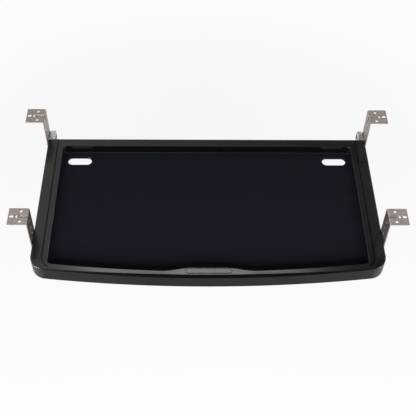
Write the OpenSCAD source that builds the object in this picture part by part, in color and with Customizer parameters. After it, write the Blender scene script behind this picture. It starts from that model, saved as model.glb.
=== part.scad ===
// Keyboard drawer that hangs under a desk top on four steel L brackets.
// A moulded tray rides on two ball-bearing slides, and pulls out towards the user.
// Millimetres. +X is right, +Y is away from the user, +Z is up.
// The origin is the middle of the four brackets, on the underside of the desk top.

/* [Tray] */
// Width of the moulded tray
tray_w = 517.4; // [480:0.2:560]
// Depth of the tray, from the middle of the front to the back edge
tray_d = 273.9; // [240:0.1:330]
// Height of the tray, from the rim to the bottom of the front
tray_h = 25.3; // [24.5:0.1:28]
// Thickness of the moulded walls
tray_wall = 2.5; // [2:0.1:2.8]
// Radius of the front corners
corner_r = 24; // [20:1:26]
// How far the middle of the front stands ahead of its corners
front_bow = 16.4; // [12:0.2:18]
// How far the middle of the crease above the front stands ahead of its corners
crease_bow = 12.1; // [10:0.1:15]
// Distance from the front to the crease, at the middle
crease_run = 4.5; // [3.5:0.1:5]
// Height of the sloping band between the crease and the front
crease_drop = 3; // [1.5:0.1:4]
// How far the front rim falls from the recess to the crease
lip_drop = 1; // [0.6:0.1:1.4]
// Distance from the front of the tray to the front of the slides
nose_d = 46.9; // [45:0.1:57]
// How far the slides reach out behind the tray
slide_tail = 23; // [20:0.5:30]
// Rounding of the outer edges
edge_round = 1.2; // [0.6:0.1:1.6]
// Radius of the two back corners
back_corner_r = 4; // [2:0.5:8]

/* [Keyboard recess] */
// Width of the rim on each side of the recess
side_rim = 25.7; // [24.2:0.1:34]
// Depth of the recess below the rim
recess_depth = 15; // [13:0.1:16]
// Width of the front rim at the middle, without the swelling for the name plate
front_rim = 9.9; // [9.6:0.1:12]
// How far the front edge of the recess bows towards the user
recess_bow = 14.2; // [10:0.2:16]
// Width of the rim behind the recess
back_rim = 16; // [12:0.5:24]
// Radius of the corners of the recess
recess_corner_r = 6; // [5.5:0.5:10]
// How far the front rim swells into the recess around the name plate
swell = 6.6; // [5:0.1:8]
// Half width over which the swelling is full
swell_flat = 22; // [18:1:28]
// Half width where the swelling has died away
swell_end = 68; // [60:1:90]

/* [Cable slots] */
// Length of each cable slot, side to side
slot_l = 38; // [30:1:50]
// Width of each cable slot, front to back
slot_w = 15; // [11:0.5:18]
// Distance from the side of the recess to the middle of each cable slot
slot_inset = 27; // [24:1:60]
// Distance from the back edge of the tray to the slots
slot_from_back = 35.5; // [32:0.5:60]

/* [Rim and underside] */
// Width of the outer band of the rim, outside the groove
rim_band = 15.7; // [15.7:0.1:17]
// Width of the groove in the rim
groove_w = 1.6; // [0.8:0.1:2]
// Depth of the groove in the rim
groove_depth = 1.2; // [0.4:0.1:1.5]
// Thickness of the ribs under the floor
rib_t = 1.6; // [1.2:0.1:2.4]
// Height of the ribs under the floor
rib_h = 4.5; // [3:0.1:6]
// Number of ribs that run front to back
long_ribs = 7; // [3:2:9]

/* [Name plate] */
// Length of the blank name plate
plate_l = 66; // [50:1:80]
// Width of the name plate
plate_w = 7.5; // [6:0.1:8]
// Thickness of the name plate
plate_t = 1.2; // [1:0.1:1.6]

/* [Desk brackets] */
// Reach of the top flange, from the inner face of the leg
flange_reach = 29; // [28:0.5:36]
// Width of each bracket, front to back
bracket_w = 30; // [28:0.5:36]
// Length of the leg below the desk top
leg_drop = 76; // [74:0.5:90]
// Thickness of the bracket sheet
bracket_t = 1.5; // [1.2:0.1:2]
// Outer radius of the bend
bend_r = 2.7; // [2.4:0.1:3.5]
// Diameter of the two round screw holes in the flange
screw_hole_d = 4.5; // [4:0.1:5.5]
// Distance of the round screw holes from the inner face of the leg
screw_hole_reach = 11.4; // [10:0.1:12]
// Distance of the round screw holes from the middle of the bracket
screw_hole_side = 9.4; // [8.5:0.1:10.5]
// Length of the slotted screw hole
slot_hole_l = 6.6; // [6:0.1:7]
// Width of the slotted screw hole
slot_hole_w = 4.8; // [4.2:0.1:5.2]
// Distance of the slotted hole from the inner face of the leg
slot_hole_reach = 24.2; // [24:0.1:24.6]
// Reach of the pressed stiffening rib, along the flange and down the leg
gusset_reach = 15.5; // [12:0.1:16]
// Inside width of the pressed stiffening rib
gusset_w = 5; // [4:0.1:6]
// Depth below the desk top of the highest height-setting hole
height_hole_top = 26; // [24:0.5:30]
// Step between the height-setting holes
height_hole_pitch = 12.7; // [12:0.1:13.5]
// Diameter of the height-setting holes
height_hole_d = 4.4; // [4.2:0.1:5]

/* [Slides] */
// Side space that each slide takes, between the leg and the tray
slide_t = 12.7; // [12.6:0.1:13.2]
// Height of the fixed channel
slide_h = 30; // [28:0.5:31]
// Gap between the top of each channel and the rim of the tray above it
rim_clear = 1.6; // [1.2:0.1:4]
// Distance from the front end of the channel to its front bolt
channel_lead = 27.5; // [26:0.5:40]
// Distance from the back bolt to the back end of the channel
channel_tail = 15.5; // [15:0.5:24]
// Sheet thickness of the channel and the runner
member_t = 1.2; // [1:0.1:1.3]
// Length of the rubber bumper at the back of the channel
bumper_l = 9.5; // [6:0.5:14]
// Length of each ball cage
cage_l = 58; // [50:1:58]
// Thickness of the ball cage
cage_t = 0.6; // [0.5:0.1:0.8]
// Diameter of the bearing balls
ball_d = 4; // [3.6:0.1:4.2]
// Number of balls in each row
balls_in_row = 6; // [3:1:7]

/* [Fasteners] */
// Shank diameter of the bolts between the slides and the brackets
bolt_d = 4; // [3.6:0.1:4.1]
// Head diameter of the bolts
bolt_head_d = 8.4; // [7.6:0.1:9]
// Head thickness of the bolts
bolt_head_t = 1.3; // [1.1:0.1:1.4]
// Width across the flats of the nuts
nut_af = 7; // [6.5:0.1:8]
// Thickness of the nuts
nut_t = 3.2; // [2.8:0.1:3.6]
// Shank diameter of the screws between the runners and the tray
tap_d = 3; // [2.8:0.1:3.4]
// Length of these screws below the head
tap_l = 9; // [8:0.1:9.5]
// Head diameter of these screws
tap_head_d = 6.6; // [6:0.1:7]
// Head thickness of these screws
tap_head_t = 1.6; // [1.3:0.1:1.8]

/* [Hidden] */
$fn = 48;

// Number of height-setting holes, where the slide hangs from the lowest
height_holes = 4;

// Clearances and the overrun of every cut
overrun = 1;
leg_gap = 0.8;
running_gap = 0.3;
ball_gap = 0.1;
hole_gap = 0.2;
fit_gap = 0.05;
cage_gap = 0.4;
stop_t = 0.8;
nose_gap = 2.5;

// Faces across the width, from the middle outwards on one side
tray_half = tray_w / 2;
leg_in = tray_half + leg_gap;
leg_out = leg_in + bracket_t;
tray_side = leg_in - slide_t;
recess_half = tray_half - side_rim;
slot_x = recess_half - slot_inset;
channel_web = leg_in - member_t;
runner_web = tray_side + member_t;
cage_out = channel_web - bolt_head_t - cage_gap;
cage_in = cage_out - cage_t;
hook_t = 1;
runner_lip_end = cage_in - cage_gap;
ball_x = runner_lip_end - hook_t - ball_d / 2;
channel_lip_end = ball_x - ball_d / 2 - hook_t;

// Heights of the slide, around its own middle
slide_z = -(height_hole_top + height_hole_pitch * (height_holes - 1));
channel_half = slide_h / 2;
channel_race = channel_half - member_t;
ball_z = channel_race - ball_gap - ball_d / 2;
runner_half = ball_z - ball_d / 2 - ball_gap;
runner_race = runner_half - member_t;

// Places along the slide, where the travel is what the cage and the stops leave
channel_l = tray_d - nose_d + slide_tail;
bracket_pitch = channel_l - channel_lead - channel_tail;
bolt_y = bracket_pitch / 2;
channel_front = -bolt_y - channel_lead;
channel_back = bolt_y + channel_tail;
bumper_front = channel_back - bumper_l;
runner_front = channel_front + stop_t + running_gap;
runner_back = bumper_front - running_gap;
runner_l = runner_back - runner_front;
travel = runner_l - cage_l - running_gap - stop_t;
cage_front = runner_front + travel / 2;

// Heights and places of the tray, which starts just above the channels
rim_under = slide_z + channel_half + rim_clear;
rim_z = rim_under + tray_wall;
floor_z = rim_z - recess_depth;
floor_under = floor_z - tray_wall;
base_z = rim_z - tray_h;
front_y = channel_front - nose_d;
back_y = front_y + tray_d;
crease_y = front_y + crease_run;
nose_back = channel_front - nose_gap;
crease_z = rim_z - lip_drop;
recess_front = front_y + front_rim;
recess_back = back_y - back_rim;
lip_past = 1.2;
lip_seen = recess_front + swell - crease_y;
lip_d = lip_seen + lip_past;
lip_tilt = atan(lip_drop / lip_d);

// Outlines are drawn from the back right corner round to the front right corner.
// Angle that points straight ahead, towards the user
ahead = 270;
arc_steps = 8;
bow_steps = 72;
bore_fn = 32;

function bow_radius(half, bow) = (half * half + bow * bow) / (2 * bow);
function bow_at(half, big) = big - sqrt(big * big - half * half);
function arc(cx, cy, r, a0, a1, n) = [for (i = [0:n]) [cx + r * cos(a0 + (a1 - a0) * i / n), cy + r * sin(a0 + (a1 - a0) * i / n)]];

// Height of the front corner's centre, for a corner that is tangent to the bowed front
function corner_y(half, front, bow, r) =
    front + bow_radius(half, bow) - sqrt(pow(bow_radius(half, bow) - r, 2) - pow(half - r, 2));

// Angle at which the bowed front meets the corner, measured from straight ahead
function corner_angle(half, bow, r) = asin((half - r) / (bow_radius(half, bow) - r));

function outline(half, front, bow, r, back, back_r) =
    let (big = bow_radius(half, bow), cy = corner_y(half, front, bow, r), turn = corner_angle(half, bow, r))
    concat(
        arc(half - back_r, back - back_r, back_r, 0, 90, arc_steps),
        arc(back_r - half, back - back_r, back_r, 90, 180, arc_steps),
        arc(r - half, cy, r, 180, ahead - turn, arc_steps),
        [for (i = [1:bow_steps - 1]) let (a = ahead - turn + 2 * turn * i / bow_steps) [big * cos(a), front + big + big * sin(a)]],
        arc(half - r, cy, r, ahead + turn, 360, arc_steps)
    );

// Share of the swelling at a distance x from the middle
function swell_share(x) =
    let (s = min(1, max(0, (swell_end - abs(x)) / (swell_end - swell_flat)))) s * s * (3 - 2 * s);

// Outline of the recess, with the front rim's swelling, or of its wall when wall is above zero
function recess_outline(wall) =
    let (
        half = recess_half + wall,
        front = recess_front - wall,
        r = recess_corner_r + wall,
        big = bow_radius(half, recess_bow),
        cy = corner_y(half, front, recess_bow, r),
        turn = corner_angle(half, recess_bow, r)
    )
    concat(
        arc(half - r, recess_back + wall - r, r, 0, 90, arc_steps),
        arc(r - half, recess_back + wall - r, r, 90, 180, arc_steps),
        arc(r - half, cy, r, 180, ahead - turn, arc_steps),
        [for (i = [1:bow_steps - 1])
            let (a = ahead - turn + 2 * turn * i / bow_steps, x = big * cos(a))
            [x, front + big + big * sin(a) + swell * swell_share(x)]],
        arc(half - r, cy, r, ahead + turn, 360, arc_steps)
    );

// Closed solid through outlines of equal length, one at each height
module loft(outlines, heights) {
    n = len(outlines[0]);
    m = len(outlines);
    points = [for (k = [0:m - 1]) for (p = outlines[k]) [p[0], p[1], heights[k]]];
    sides = [for (k = [0:m - 2]) for (i = [0:n - 1]) let (j = (i + 1) % n)
        [k * n + i, (k + 1) * n + i, (k + 1) * n + j, k * n + j]];
    bottom = [for (i = [0:n - 1]) i];
    top = [for (i = [0:n - 1]) (m - 1) * n + n - 1 - i];
    polyhedron(points, concat([bottom, top], sides), convexity = 6);
}

// Extrudes a profile drawn in X and Z along Y
module along_y(y0, y1) {
    translate([0, y1, 0]) rotate([90, 0, 0]) linear_extrude(y1 - y0) children();
}

module box(x0, x1, y0, y1, z0, z1) {
    translate([x0, y0, z0]) cube([x1 - x0, y1 - y0, z1 - z0]);
}

// Cylinder along X that starts at x
module rod_x(x, l, d, fn = bore_fn) {
    translate([x, 0, 0]) rotate([0, 90, 0]) cylinder(h = l, d = d, $fn = fn);
}

module right_and_left() {
    children();
    mirror([1, 0, 0]) children();
}

// Draws the right hand copy, or its mirror image for the left
module on_side(side) {
    if (side > 0) children();
    else mirror([1, 0, 0]) children();
}

// Places of the runner's screws, as shares of the runner's length
runner_screw_shares = [0.08, 0.45, 0.85];
// Places of the channel's spare slots, as shares of its length
channel_slot_shares = [0.3, 0.55, 0.7];
spare_slot_l = 9;
boss_d = 8;
function runner_screw_y(i) = runner_front + runner_l * runner_screw_shares[i];

// Outline of the flat top of the rim, which starts just behind the front edge of the recess
function top_outline() =
    let (
        half = tray_half - 2 * edge_round,
        big = bow_radius(recess_half, recess_bow),
        flat = outline(half, recess_front + lip_past, bow_at(half, big), corner_r, back_y - 2 * edge_round, back_corner_r)
    )
    [for (p = flat) [p[0], p[1] + swell * swell_share(p[0])]];

module tray_block() {
    outer = outline(tray_half, front_y, front_bow, corner_r, back_y, back_corner_r);
    foot = outline(
        tray_half - edge_round, front_y + edge_round, front_bow, corner_r, back_y - edge_round, back_corner_r
    );
    crease = outline(tray_half - edge_round / 2, crease_y, crease_bow, corner_r, back_y - edge_round / 2, back_corner_r);
    land = top_outline();
    past = [for (i = [0:len(land) - 1]) 2 * land[i] - crease[i]];
    side = tray_half + overrun;
    difference() {
        loft([foot, outer, outer, crease, past], [base_z, base_z + edge_round, crease_z - crease_drop, crease_z, rim_z + lip_drop]);
        box(-side, side, front_y - overrun, back_y + overrun, rim_z, rim_z + lip_drop + overrun);
    }
}

module inner_outline() {
    w = tray_wall;
    polygon(outline(tray_half - w, crease_y + w, crease_bow, corner_r - w, back_y - w, back_corner_r));
}

// Space under the rim and the floor, open at the bottom
module tray_hollow() {
    below = base_z - overrun;
    difference() {
        translate([0, 0, below]) linear_extrude(rim_under - below) inner_outline();
        translate([0, 0, floor_under]) linear_extrude(recess_depth + overrun) polygon(recess_outline(tray_wall));
        right_and_left() {
            box(tray_side - tray_wall, tray_side, nose_back - tray_wall, back_y, below, rim_z);
            box(tray_side - tray_wall, tray_half, nose_back - tray_wall, nose_back, below, rim_z);
        }
    }
}

// Space beside the tray where each slide runs
module slide_bay() {
    box(tray_side, tray_half + overrun, nose_back, back_y + overrun, base_z - overrun, rim_under);
}

module cable_slot(x) {
    run = slot_l - slot_w;
    y = back_y - slot_from_back;
    translate([0, 0, floor_under - overrun]) linear_extrude(tray_wall + 2 * overrun) {
        translate([x - run / 2, y - slot_w / 2]) square([run, slot_w]);
        translate([x - run / 2, y]) circle(d = slot_w);
        translate([x + run / 2, y]) circle(d = slot_w);
    }
}

// Groove along each side of the rim, which turns inwards at the front corner
module rim_groove() {
    x = tray_half - rim_band;
    r = corner_r;
    y = corner_y(tray_half, front_y, front_bow, corner_r);
    turn = 60;
    z = rim_z - groove_depth;
    box(x - groove_w, x, y, back_y + overrun, z, rim_z + overrun);
    translate([x - r, y, z]) linear_extrude(groove_depth + overrun)
        polygon(concat(arc(0, 0, r, 0, -turn, arc_steps), arc(0, 0, r - groove_w, -turn, 0, arc_steps)));
}

module plate_shape(gap) {
    l = plate_l + 2 * gap;
    w = plate_w + 2 * gap;
    translate([-(l - w) / 2, -w / 2]) square([l - w, w]);
    for (s = [-1, 1]) translate([s * (l - w) / 2, 0]) circle(d = w);
}

plate_proud = 0.3;

// Puts its children on the sloping rim, in the middle of the swelling
module on_lip() {
    translate([0, crease_y + lip_seen / 2, crease_z + lip_drop * lip_seen / lip_d / 2])
        rotate([lip_tilt, 0, 0]) children();
}

module floor_ribs() {
    side = tray_side - tray_wall;
    front = recess_front + swell + tray_wall;
    top = floor_under + tray_wall / 2;
    step = 2 * side / (long_ribs + 1);
    for (i = [1:long_ribs]) box(-side + step * i - rib_t / 2, -side + step * i + rib_t / 2, front, recess_back, floor_under - rib_h, top);
    for (s = rib_shares) {
        y = front + (recess_back - front) * s;
        box(-side, side, y - rib_t / 2, y + rib_t / 2, floor_under - rib_h, top);
    }
}

// Places of the cross ribs, as shares of the floor's depth
rib_shares = [0.02, 0.35, 0.68, 0.98];

module screw_bosses() {
    for (i = [0:len(runner_screw_shares) - 1])
        translate([0, runner_screw_y(i), slide_z]) rod_x(recess_half + tray_wall / 2, tray_side - recess_half - tray_wall / 2, boss_d);
}

module screw_holes() {
    depth = tap_l - member_t + running_gap;
    for (i = [0:len(runner_screw_shares) - 1])
        translate([0, runner_screw_y(i), slide_z]) rod_x(tray_side - depth, depth + overrun, tap_d + 2 * fit_gap);
}

module tray_shell() {
    color("dimgray") difference() {
        union() {
            difference() {
                tray_block();
                tray_hollow();
                right_and_left() slide_bay();
            }
            floor_ribs();
            right_and_left() screw_bosses();
        }
        translate([0, 0, floor_z]) linear_extrude(recess_depth + overrun) polygon(recess_outline(0));
        right_and_left() {
            cable_slot(slot_x);
            rim_groove();
            screw_holes();
        }
        on_lip() translate([0, 0, plate_proud - plate_t]) linear_extrude(plate_t + overrun) plate_shape(fit_gap);
    }
}

module name_plate() {
    color("gray") on_lip() translate([0, 0, plate_proud - plate_t]) linear_extrude(plate_t) plate_shape(0);
}

// Profile of the bracket, with the inner face of the leg at zero
module bracket_profile() {
    translate([bend_r, -bracket_t]) square([flange_reach - bend_r, bracket_t]);
    translate([0, -leg_drop]) square([bracket_t, leg_drop - bend_r]);
    intersection() {
        translate([0, -bend_r]) square(bend_r);
        translate([bend_r, -bend_r]) difference() {
            circle(bend_r);
            circle(bend_r - bracket_t);
        }
    }
}

module gusset_profile(reach) {
    polygon([[0, 0], [reach, 0], [0, -reach]]);
}

// Bracket for the right side, with its middle at y = 0
module bracket_body() {
    foot_r = bracket_w / 6;
    tip_r = bracket_t;
    outer_reach = gusset_reach + bracket_t * sqrt(2);
    outer_w = gusset_w + 2 * bracket_t;
    difference() {
        union() {
            intersection() {
                along_y(-bracket_w / 2, bracket_w / 2) bracket_profile();
                rod_corners(foot_r);
                tip_corners(tip_r);
            }
            along_y(-outer_w / 2, outer_w / 2) gusset_profile(outer_reach);
        }
        along_y(-gusset_w / 2, gusset_w / 2) gusset_profile(gusset_reach);
        pressed_end();
        flange_holes();
        for (i = [0:height_holes - 1])
            translate([0, 0, -(height_hole_top + height_hole_pitch * i)])
                rod_x(-overrun, bracket_t + 2 * overrun, height_hole_d);
    }
}

// Crescent opening where the stiffening rib breaks through the flange
module pressed_end() {
    r = gusset_w / 2 + hole_gap;
    bite = r / 2;
    deep = 2 * bracket_t + 2 * overrun;
    translate([gusset_reach, 0, overrun - deep]) difference() {
        cylinder(h = deep, r = r, $fn = bore_fn);
        translate([-bite, 0, 0]) cylinder(h = deep, r = r, $fn = bore_fn);
    }
}

module flange_holes() {
    deep = bracket_t + 2 * overrun;
    run = slot_hole_l - slot_hole_w;
    for (s = [-1, 1]) translate([screw_hole_reach, s * screw_hole_side, overrun - deep])
        cylinder(h = deep, d = screw_hole_d, $fn = bore_fn);
    translate([slot_hole_reach, 0, overrun - deep]) linear_extrude(deep) {
        translate([-run / 2, -slot_hole_w / 2]) square([run, slot_hole_w]);
        for (s = [-1, 1]) translate([s * run / 2, 0]) circle(d = slot_hole_w, $fn = bore_fn);
    }
}

// Rounds the two lower corners of the leg
module rod_corners(r) {
    reach = flange_reach + 2 * overrun;
    translate([-overrun, 0, 0]) rotate([90, 0, 90]) linear_extrude(reach) {
        translate([-bracket_w / 2, r - leg_drop]) square([bracket_w, leg_drop - r + overrun]);
        translate([r - bracket_w / 2, -leg_drop]) square([bracket_w - 2 * r, leg_drop]);
        for (s = [-1, 1]) translate([s * (bracket_w / 2 - r), r - leg_drop]) circle(r);
    }
}

// Rounds the two outer corners of the flange
module tip_corners(r) {
    translate([0, 0, -leg_drop - overrun]) linear_extrude(leg_drop + 2 * overrun) {
        translate([-overrun, -bracket_w / 2]) square([flange_reach - r + overrun, bracket_w]);
        translate([-overrun, r - bracket_w / 2]) square([flange_reach + overrun, bracket_w - 2 * r]);
        for (s = [-1, 1]) translate([flange_reach - r, s * (bracket_w / 2 - r)]) circle(r);
    }
}

module bracket(side, end) {
    color("silver") on_side(side) translate([leg_in, end * bracket_pitch / 2, 0]) bracket_body();
}

// Fixed channel: a web against the legs, and two lips that end in hooks
module channel_profile() {
    lip = leg_in - channel_lip_end;
    for (s = [0, 1]) mirror([0, s]) {
        translate([channel_web, 0]) square([member_t, channel_half]);
        translate([channel_lip_end, channel_race]) square([lip, member_t]);
        translate([channel_lip_end, channel_race - hook_t]) square([hook_t, hook_t]);
    }
}

// Moving runner: a web against the tray, and two lips that reach into the channel
module runner_profile() {
    lip = runner_lip_end - tray_side;
    for (s = [0, 1]) mirror([0, s]) {
        translate([tray_side, 0]) square([member_t, runner_half]);
        translate([tray_side, runner_race]) square([lip, member_t]);
        translate([runner_lip_end - hook_t, runner_half]) square([hook_t, hook_t]);
    }
}

module spare_slot(x, y) {
    translate([x, y, 0]) rotate([0, 90, 0]) linear_extrude(member_t + 2 * overrun) {
        translate([-height_hole_d / 2, -spare_slot_l / 2]) square([height_hole_d, spare_slot_l]);
        for (s = [-1, 1]) translate([0, s * spare_slot_l / 2]) circle(d = height_hole_d, $fn = bore_fn);
    }
}

module slide_channel(side) {
    tab_low = runner_half + hook_t / 2;
    color("gainsboro") on_side(side) translate([0, 0, slide_z]) difference() {
        union() {
            along_y(channel_front, channel_back) channel_profile();
            for (s = [0, 1]) mirror([0, 0, s])
                box(ball_x - hook_t, ball_x + hook_t, channel_front, channel_front + stop_t, tab_low, channel_race + member_t / 2);
        }
        for (s = [-1, 1]) translate([0, s * bolt_y, 0]) rod_x(channel_web - overrun, member_t + 2 * overrun, height_hole_d);
        for (s = channel_slot_shares) spare_slot(channel_web - overrun, channel_front + channel_l * s);
    }
}

module slide_runner(side) {
    tab_high = channel_race - hook_t;
    color("gainsboro") on_side(side) translate([0, 0, slide_z]) difference() {
        union() {
            along_y(runner_front, runner_back) runner_profile();
            for (s = [0, 1]) mirror([0, 0, s])
                box(ball_x - hook_t, ball_x + hook_t, runner_back - stop_t, runner_back, runner_half - member_t / 2, tab_high);
        }
        for (i = [0:len(runner_screw_shares) - 1])
            translate([0, runner_screw_y(i), 0]) rod_x(tray_side - overrun, member_t + 2 * overrun, tap_d + 2 * hole_gap);
    }
}

// Places of the balls along the cage, spread evenly between its ends
function ball_y(i) = cage_front + cage_l * (i + 0.5) / balls_in_row;

module cage_profile() {
    lip = cage_out - channel_lip_end - hook_t - running_gap;
    for (s = [0, 1]) mirror([0, s]) {
        translate([cage_in, 0]) square([cage_t, ball_z + cage_t / 2]);
        translate([cage_out - lip, ball_z - cage_t / 2]) square([lip, cage_t]);
    }
}

module ball_cage(side) {
    color("goldenrod") on_side(side) translate([0, 0, slide_z]) difference() {
        along_y(cage_front, cage_front + cage_l) cage_profile();
        for (i = [0:balls_in_row - 1]) translate([ball_x, ball_y(i), -channel_half])
            cylinder(h = slide_h, d = ball_d + hole_gap, $fn = bore_fn);
    }
}

module bearing_balls(side) {
    color("white") on_side(side) for (i = [0:balls_in_row - 1]) for (s = [-1, 1])
        translate([ball_x, ball_y(i), slide_z + s * ball_z]) sphere(d = ball_d);
}

// Rubber block at the back of the channel, where the runner comes to rest
module channel_bumper(side) {
    half = runner_half + hook_t;
    color("black") on_side(side) translate([0, 0, slide_z])
        box(channel_lip_end, channel_web, bumper_front, channel_back, -half, half);
}

module cross_recess(d, depth) {
    w = d / 6;
    cube([2 * depth, d / 2, w], center = true);
    cube([2 * depth, w, d / 2], center = true);
}

module bracket_bolts(side) {
    bolt_l = member_t + bracket_t + nut_t + overrun;
    color("silver") on_side(side) for (s = [-1, 1]) translate([channel_web, s * bolt_y, slide_z]) {
        difference() {
            rod_x(-bolt_head_t, bolt_head_t, bolt_head_d);
            translate([-bolt_head_t, 0, 0]) cross_recess(bolt_head_d, bolt_head_t / 2);
        }
        rod_x(-fit_gap, bolt_l + fit_gap, bolt_d);
    }
}

module bracket_nuts(side) {
    color("silver") on_side(side) for (s = [-1, 1]) translate([leg_out, s * bolt_y, slide_z]) difference() {
        rod_x(0, nut_t, nut_af / cos(30), 6);
        rod_x(-overrun, nut_t + 2 * overrun, bolt_d + 2 * fit_gap);
    }
}

module runner_screws(side) {
    color("silver") on_side(side) for (i = [0:len(runner_screw_shares) - 1])
        translate([runner_web, runner_screw_y(i), slide_z]) {
            difference() {
                rod_x(0, tap_head_t, tap_head_d);
                translate([tap_head_t, 0, 0]) cross_recess(tap_head_d, tap_head_t / 2);
            }
            rod_x(-tap_l, tap_l + fit_gap, tap_d);
        }
}

tray_shell();
name_plate();
bracket(-1, -1);  // bracket_front_left
bracket(1, -1);  // bracket_front_right
bracket(-1, 1);  // bracket_rear_left
bracket(1, 1);  // bracket_rear_right
bracket_bolts(-1);  // bracket_bolts_left
bracket_bolts(1);  // bracket_bolts_right
bracket_nuts(-1);  // bracket_nuts_left
bracket_nuts(1);  // bracket_nuts_right
slide_channel(-1);  // slide_channel_left
slide_channel(1);  // slide_channel_right
channel_bumper(-1);  // channel_bumper_left
channel_bumper(1);  // channel_bumper_right
ball_cage(-1);  // ball_cage_left
ball_cage(1);  // ball_cage_right
bearing_balls(-1);  // bearing_balls_left
bearing_balls(1);  // bearing_balls_right
slide_runner(-1);  // slide_runner_left
slide_runner(1);  // slide_runner_right
runner_screws(-1);  // runner_screws_left
runner_screws(1);  // runner_screws_right
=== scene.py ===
"""Keyboard drawer that hangs under a desk top: soft-edged pieces, finishes and a plain studio."""

import math
from contextlib import contextmanager

import bmesh
import bpy
from bmesh import ops
from mathutils import Matrix, Vector


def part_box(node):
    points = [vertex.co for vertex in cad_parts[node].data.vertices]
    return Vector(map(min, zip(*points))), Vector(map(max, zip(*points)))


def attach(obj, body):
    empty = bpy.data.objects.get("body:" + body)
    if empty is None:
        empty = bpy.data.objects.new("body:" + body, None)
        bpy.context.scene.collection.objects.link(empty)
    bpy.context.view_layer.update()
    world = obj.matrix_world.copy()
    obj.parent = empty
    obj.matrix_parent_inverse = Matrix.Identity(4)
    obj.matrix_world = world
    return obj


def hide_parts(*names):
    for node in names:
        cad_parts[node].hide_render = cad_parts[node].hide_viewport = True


bl_info = {
    "name": "Under-desk keyboard drawer",
    "version": (1, 0, 0),
    "blender": (4, 5, 0),
    "location": "View3D > Sidebar > Keyboard Drawer",
    "description": "Builds the moulded drawer, its slides and its desk brackets, with their finishes",
    "category": "Object",
}

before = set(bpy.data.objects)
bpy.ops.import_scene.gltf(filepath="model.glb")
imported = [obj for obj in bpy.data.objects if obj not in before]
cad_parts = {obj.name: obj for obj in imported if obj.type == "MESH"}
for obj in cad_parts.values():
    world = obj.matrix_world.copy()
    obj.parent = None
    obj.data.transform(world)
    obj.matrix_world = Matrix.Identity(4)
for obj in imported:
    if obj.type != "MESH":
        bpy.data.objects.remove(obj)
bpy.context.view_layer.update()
tray_low, tray_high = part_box("tray_shell")
plate_low, plate_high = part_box("name_plate")
bracket_low, bracket_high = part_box("bracket_front_right")
channel_low, channel_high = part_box("slide_channel_right")
runner_low, runner_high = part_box("slide_runner_right")
balls_low, balls_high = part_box("bearing_balls_right")

MM = 0.001
WELD = 0.01 * MM
OVERRUN = 1 * MM
CORNER_STEPS = 10
BOW_STEPS = 72
SIDE_STEPS = 12
ROUND_STEPS = 32
SIDES = (-1, 1)
HANDS = ((-1, "left"), (1, "right"))
ENDS = ("front", "rear")
CRISP_ANGLE = math.radians(32)
SLIDE_LEVEL = (channel_low.z + channel_high.z) / 2
NOSE_BACK = channel_low.y - 2.5 * MM
BALL_LINE = (balls_low.x + balls_high.x) / 2
SCREW_PLACES = [runner_low.y + (runner_high.y - runner_low.y) * s for s in (0.08, 0.45, 0.85)]
PLATE_LENGTH = plate_high.x - plate_low.x
STOP_SHEET = 0.8 * MM
TIP_OVER = Matrix.Rotation(math.pi, 4, "Z")


def mm(name, size, description):
    """A size in metres that the sidebar can show."""
    return bpy.props.FloatProperty(
        name=name, description=description, default=size * MM, unit="LENGTH", subtype="DISTANCE", precision=5)


def colour(name, shade, description):
    """A linear colour that the sidebar can show."""
    return bpy.props.FloatVectorProperty(
        name=name, description=description, default=shade, size=3, min=0, max=1, subtype="COLOR")


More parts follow.
